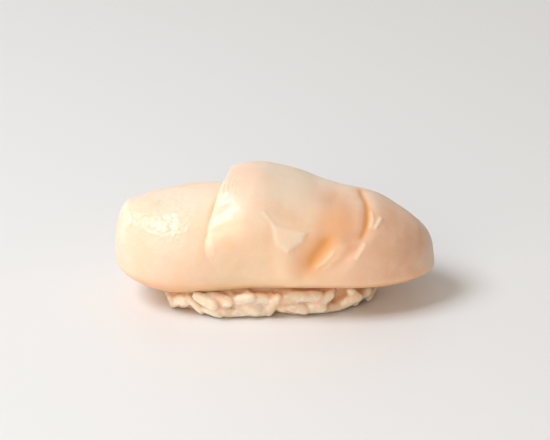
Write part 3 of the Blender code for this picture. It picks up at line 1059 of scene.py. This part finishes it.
@dataclass
class ScallopTopping:
    """The scallop, opened flat and draped: a long lump whose upper lobe lies on its left one.

    A curve's pairs are (x, size). The lobe's edge and thickness are (angle, size), and a hump is
    (distance past the edge, share of the thickness).
    """

    left_tip: float = -38.1
    right_tip: float = 38.2
    crest: Curve = (
        (-38.1, 23.8), (-28, 25.7), (-18, 27.3), (0, 26.8), (18, 26.8), (26, 24.5), (32, 20.8),
        (38.2, 16.4),
    )
    half_width: Curve = (
        (-37.7, 14.0), (-22, 15.6), (-8, 15.2), (6, 15.8), (22, 14.6), (30, 12.6), (37.8, 10.0),
    )
    waist: Curve = ((-37.7, 10.4), (-25, 12.0), (0, 12.5), (22, 11.0), (37.8, 8.6))
    underside: Curve = (
        (-37.7, 6.5), (-29, 4.2), (-14, 4.0), (-4, 5.2), (12, 5.8), (25, 5.4), (37.8, 5.8),
    )
    end_squareness_above: float = 30
    end_squareness_below: float = 9
    plan_squareness: float = 5
    section_squareness: float = 2.3
    lobe_edge: Curve = (
        (-105, -10.5), (-88, -13.6), (-70, -16.1), (-52, -15.5), (-20, -13.4), (0, -11.5), (25, -10.5),
        (60, -8), (110, -5),
    )
    lobe_thickness: Curve = (
        (-96, 0), (-82, 0.15), (-68, 1.1), (-52, 2.5), (-35, 3.2), (0, 3.9), (45, 3.4), (80, 2.0),
        (112, 0),
    )
    steep_hump: Curve = ((0, 0), (0.3, 0.5), (0.8, 0.9), (1.8, 1.14), (4, 1.38), (8, 1.45), *HUMP_END)
    round_hump: Curve = ((0, 0), (0.4, 0.3), (1.4, 0.6), (3, 0.92), (5, 1.2), (8, 1.42), *HUMP_END)
    lip: float = 0.22
    bend_at: float = -13.0
    bend_reach: float = 22.0
    rings: int = 300
    points: int = 280
    turn_spread: tuple[float, float] = (0.82, 0.18)
    length_spread: tuple[float, float] = (1.12, -0.12)
    hollow_foot: float = -0.5
    layer_line: Curve = ((-14.5, -30), (-12.6, -12), (-11.2, 4), (-9.4, 18), (-5, 29), (4, 36), (16, 40))
    flap: Curve = ((-0.4, -47), (7.2, -52), (6.4, -60), (3.0, -69), (0.5, -63))
    flap_height: float = 0.26
    wet_ripple: float = 0.14
    cut_ripple: float = 0.1
    swell: float = 0.22
    waver: float = 0.07
    folds: dict[str, Fold] = field(default_factory=scallop_folds)

    def bare(self, x: Array, angle: Array) -> Array:
        """Points of the drape without its lobe and folds.

        Args:
            x: Places along the piece, in millimetres.
            angle: Angles round it, in degrees.

        Returns:
            (x, y, z) rows in millimetres.
        """
        along = np.abs(np.where(x < 0, x / self.left_tip, x / self.right_tip))
        waist = profile(self.waist, x)
        above = (profile(self.crest, x) - waist) * rounded_end(along, self.end_squareness_above)
        below = (waist - profile(self.underside, x)) * rounded_end(along, self.end_squareness_below)
        across = squared(np.sin(np.radians(angle)), self.section_squareness)
        up = squared(np.cos(np.radians(angle)), self.section_squareness)
        y = profile(self.half_width, x) * rounded_end(along, self.plan_squareness) * across
        return np.stack([x, y, waist + np.where(up > 0, above, below) * up], axis=-1)

    def outward(self, x: Array, angle: Array) -> Array:
        """Finds which way the bare drape faces.

        Args:
            x: Places along the piece.
            angle: Angles round it.

        Returns:
            Rows of length 1 that point out of it.
        """
        step = 0.05
        along = self.bare(x + step, angle) - self.bare(x - step, angle)
        around = self.bare(x, angle + step) - self.bare(x, angle - step)
        out = np.cross(along, around)
        return out / np.maximum(np.linalg.norm(out, axis=-1, keepdims=True), 1e-9)

    def on_flap(self, x: Array, angle: Array) -> Array:
        """Share of the flap's height at each place."""
        return smooth_step(-0.7, 0.6, inside_outline(self.flap, x, angle))

    def past_edge(self, x: Array, angle: Array) -> Array:
        """How far each place is to the right of the upper lobe's edge, in millimetres."""
        return x - profile(self.lobe_edge, angle)

    def cut_end(self, x: Array, angle: Array) -> Array:
        """How much each place belongs to the left lobe's cut face, where the fibres end."""
        reach = smooth_step(-17.5, -25.0, x + 4.0 * np.sin(np.radians(angle * 3)))
        return reach * smooth_step(-88, -62, angle) * smooth_step(80, 30, angle)

    def rippled(self, x: Array, angle: Array) -> Array:
        """How much fine ripple each place has: the crown, the rim and both ends are smooth."""
        crown = smooth_step(-25, 0, angle) * smooth_step(80, 60, angle)
        return (1 - crown) * smooth_step(92, 75, np.abs(angle)) * smooth_step(36, 30, np.abs(x))

    def relief(self, x: Array, angle: Array, bare: Array) -> Array:
        """How far the skin stands out from the bare drape at each place.

        Args:
            x: Places along the piece.
            angle: Angles round it.
            bare: The bare drape's points there.

        Returns:
            Heights in millimetres.
        """
        from_edge = self.past_edge(x, angle)
        steep = smooth_step(-34, -10, angle)
        hump = steep * profile(self.steep_hump, from_edge)
        hump += (1 - steep) * profile(self.round_hump, from_edge)
        height = profile(self.lobe_thickness, angle) * hump
        fine = roughness_of(bare, 0.9, 5.3)
        for fold in self.folds.values():
            height += (fold.raised + self.wet_ripple * fold.wet * fine) * fold.near(x, angle)
        height += self.flap_height * self.on_flap(x, angle)
        shown = smooth_step(125, 95, np.abs(angle))
        sway = roughness_of(bare, 7.0, 3.1)
        height += shown * (self.swell * sway + self.waver * roughness_of(bare, 2.3, 8.7))
        return height + self.cut_ripple * self.cut_end(x, angle) * fine

    def tints(self, x: Array, angle: Array) -> dict[str, Array]:
        """Shares of the skin's other colours, of its painted shade, painted light and painted highlights,
        and of the cut face, for the material.

        Args:
            x: Places along the piece.
            angle: Angles round it.

        Returns:
            A value for each place, by attribute name.
        """
        amber_shade, pale, painted_shade, wet = (np.zeros(x.shape) for _ in range(4))
        for fold in self.folds.values():
            near = fold.near(x, angle, 1.1)
            amber_shade += fold.amber_shade * near
            pale += fold.pale * near
            painted_shade += fold.painted_shade * near
            wet += fold.wet * near
        from_edge = self.past_edge(x, angle)
        thickness = profile(self.lobe_thickness, angle)
        # Painted warm shade in the crease at the foot of the lobe's edge, and a painted highlight on its
        # rounded lip just past it.
        amber_shade += 0.16 * thickness * np.exp(-(((from_edge + 0.3) / 0.9) ** 2))
        pale += 0.06 * thickness * np.exp(-(((from_edge - 1.2) / 0.9) ** 2))
        # Painted warm shade under the rim, which faces down.
        amber_shade += 0.55 * smooth_step(100, 120, np.abs(angle))
        flap = self.on_flap(x, angle)
        across, _ = along_path(self.layer_line, x, angle)
        fibre = smooth_step(-0.2, 0.5, from_edge) * smooth_step(8.0, 1.0, across)
        return {
            "across": across,
            "fibre": fibre * smooth_step(-40, -10, angle) * smooth_step(48, 8, angle),
            "wet": np.clip(wet, 0, 1),
            "amber_shade": np.clip(amber_shade * (1 - flap), 0, 1),
            "pale": np.clip(pale + 0.75 * flap, 0, 1),
            "painted_shade": np.clip(painted_shade, 0, 1),
            "cut": self.cut_end(x, angle),
            "ripple": self.rippled(x, angle),
        }

    def build(self, rice: RiceBlock) -> Object:
        """Makes the scallop, hollowed to sit over the rice.

        Args:
            rice: The block that it lies on.

        Returns:
            The scallop's object, with its tints as attributes.
        """
        obj = sphere("scallop_topping", self.points, self.rings)
        on_ball = read_points(obj.data)
        even = 2 * np.arccos(np.clip(-on_ball[:, 0], -1, 1)) / math.pi - 1
        turn = np.degrees(np.arctan2(on_ball[:, 1], on_ball[:, 2]))
        evenly, low = self.turn_spread
        angle = turn * (evenly + low * (np.abs(turn) / 180) ** 6)
        evenly, at_ends = self.length_spread
        half = (self.right_tip - self.left_tip) / 2
        x = (self.left_tip + self.right_tip) / 2 + half * (evenly * even + at_ends * even**9)
        away = np.clip(np.abs(x - self.bend_at) / self.bend_reach, 0, 1)
        x = x + (profile(self.lobe_edge, angle) - self.bend_at) * (1 - away) ** 2 * (1 + 2 * away)
        bare = self.bare(x, angle)
        placed = bare + self.outward(x, angle) * self.relief(x, angle, bare)[:, None]
        hang = self.lip * profile(self.lobe_thickness, angle)
        placed[:, 0] -= hang * np.exp(-((self.past_edge(x, angle) - 1.1) ** 2))
        placed = (placed - np.array(MIDDLE)) * MM
        write_points(obj.data, placed)
        face_out(obj)
        cut_away(obj, rice.make_core("hollow", rice.gap, self.hollow_foot))
        self.store_tints(obj.data, placed, self.tints(x, angle))
        return obj

    def store_tints(self, mesh: Mesh, places: Array, tints: dict[str, Array]) -> None:
        """Stores each tint on the points of the finished mesh.

        Args:
            mesh: The finished mesh.
            places: Where the tints were worked out, in metres.
            tints: Values for those places, by attribute name.
        """
        tree = KDTree(len(places))
        for i, place in enumerate(places):
            tree.insert(place, i)
        tree.balance()
        nearest = np.array([tree.find(v.co)[1] for v in mesh.vertices])
        for name, values in tints.items():
            store(mesh, name, values[nearest])


@dataclass(frozen=True)
class Lamp:
    """A square light that faces the piece: its place and side in metres, its power in watts."""

    place: Triple
    side: float
    power: float
    colour: Triple

    def add(self, name: str) -> None:
        """Adds the light.

        Args:
            name: The light's name.
        """
        deselect_all()
        facing = (LIT_POINT - Vector(self.place)).to_track_quat("-Z", "Y").to_euler()
        bpy.ops.object.light_add(type="AREA", location=self.place, rotation=facing)
        light = bpy.context.active_object
        light.name = light.data.name = name
        light.data.size = self.side
        light.data.energy = self.power
        light.data.color = self.colour


@dataclass
class Studio:
    """The pale floor, the soft lights and the camera at the photograph's angle."""

    elevation: float = 25.0
    distance: float = 0.45
    pixels_per_mm: float = 4.21
    image: tuple[int, int] = (550, 440)
    ground_row: float = 294.6
    floor_side: float = 4.0
    key: Lamp = Lamp((-0.60, -0.20, 0.85), 0.46, 8.9, (0.86, 0.925, 1.0))
    fill: Lamp = Lamp((-0.35, -0.80, 0.32), 0.7, 3.8, (1.0, 0.86, 0.72))
    sky_colour: Colour = (1.0, 0.925, 0.84, 1.0)
    sky: float = 0.22
    sky_sides: tuple[tuple[Triple, float], ...] = (
        ((-1, 0, 0), 0.3), ((0, 1, -0.3), 0.44), ((0, 0, 1), 0.2),
    )

    def build(self) -> None:
        """Makes the floor, the lights, the surroundings and the camera."""
        deselect_all()
        bpy.ops.mesh.primitive_plane_add(size=self.floor_side)
        floor = bpy.context.active_object
        floor.name = "floor"
        floor.data.materials.append(PlainFloor().make())
        self.key.add("key")
        self.fill.add("fill")
        self.add_surroundings()
        bpy.context.scene.view_settings.view_transform = "Standard"
        self.add_camera()

    def add_surroundings(self) -> None:
        """Adds soft, slightly warm light, stronger at the left, above the piece and low behind it."""
        g = Graph(bpy.data.worlds.new("surroundings"), "Background")
        toward = g.node("ShaderNodeTexCoord", {}, {}, "Generated")
        settings = {"operation": "DOT_PRODUCT"}
        strength: Value | float = 0.0
        for direction, share in self.sky_sides:
            facing = g.node("ShaderNodeVectorMath", settings, {0: toward, 1: direction}, "Value")
            strength += (facing * share + self.sky / len(self.sky_sides)).clamped()
        g.shade(Color=self.sky_colour, Strength=strength)
        bpy.context.scene.world = g.owner

    def add_camera(self) -> None:
        """Adds the camera, so that a millimetre at the piece is the photograph's number of pixels."""
        tilt = math.radians(self.elevation)
        up = (self.ground_row - self.image[1] / 2) / self.pixels_per_mm / math.cos(tilt)
        aim = (Vector((0, 0, up)) - MIDDLE) * MM
        back = Vector((0, -math.cos(tilt), math.sin(tilt))) * self.distance
        deselect_all()
        bpy.ops.object.camera_add(location=aim + back, rotation=(math.pi / 2 - tilt, 0, 0))
        camera = bpy.context.active_object
        camera.data.sensor_width = 36.0
        camera.data.lens = 36.0 * self.pixels_per_mm / MM * self.distance / self.image[0]
        camera.data.clip_start, camera.data.clip_end = 0.01, 10.0
        bpy.context.scene.camera = camera


def attach(piece: Object, node: str, finish: Material) -> None:
    """Dresses a piece and puts it in a node's place.

    Args:
        piece: The finished piece.
        node: The solid that it stands for, whose material slot has the same name.
        finish: Its material.
    """
    piece.data.materials.clear()
    piece.data.materials.append(finish)
    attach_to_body(piece, "root")
    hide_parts(node)
    log.info("%s: %d faces, in place of %s", piece.name, len(piece.data.polygons), node)


def face_tree(obj: Object) -> BVHTree:
    """Sorts an object's faces, for finding what is near them or crosses them.

    Args:
        obj: The object.

    Returns:
        The tree of its faces, in its own coordinates.
    """
    made = bmesh.new()
    made.from_mesh(obj.data)
    tree = BVHTree.FromBMesh(made)
    made.free()
    return tree


def main() -> None:
    """Builds the studio, the scallop and the rice."""
    logging.basicConfig(level=logging.INFO, format="%(name)s: %(message)s")
    Studio().build()
    rice = RiceBlock()
    topping = ScallopTopping().build(rice)
    grains = rice.build(face_tree(topping))
    attach(topping, "scallop", ScallopFlesh().make())
    attach(grains, "rice", CookedRice().make())


if __name__ == "__main__":
    main()
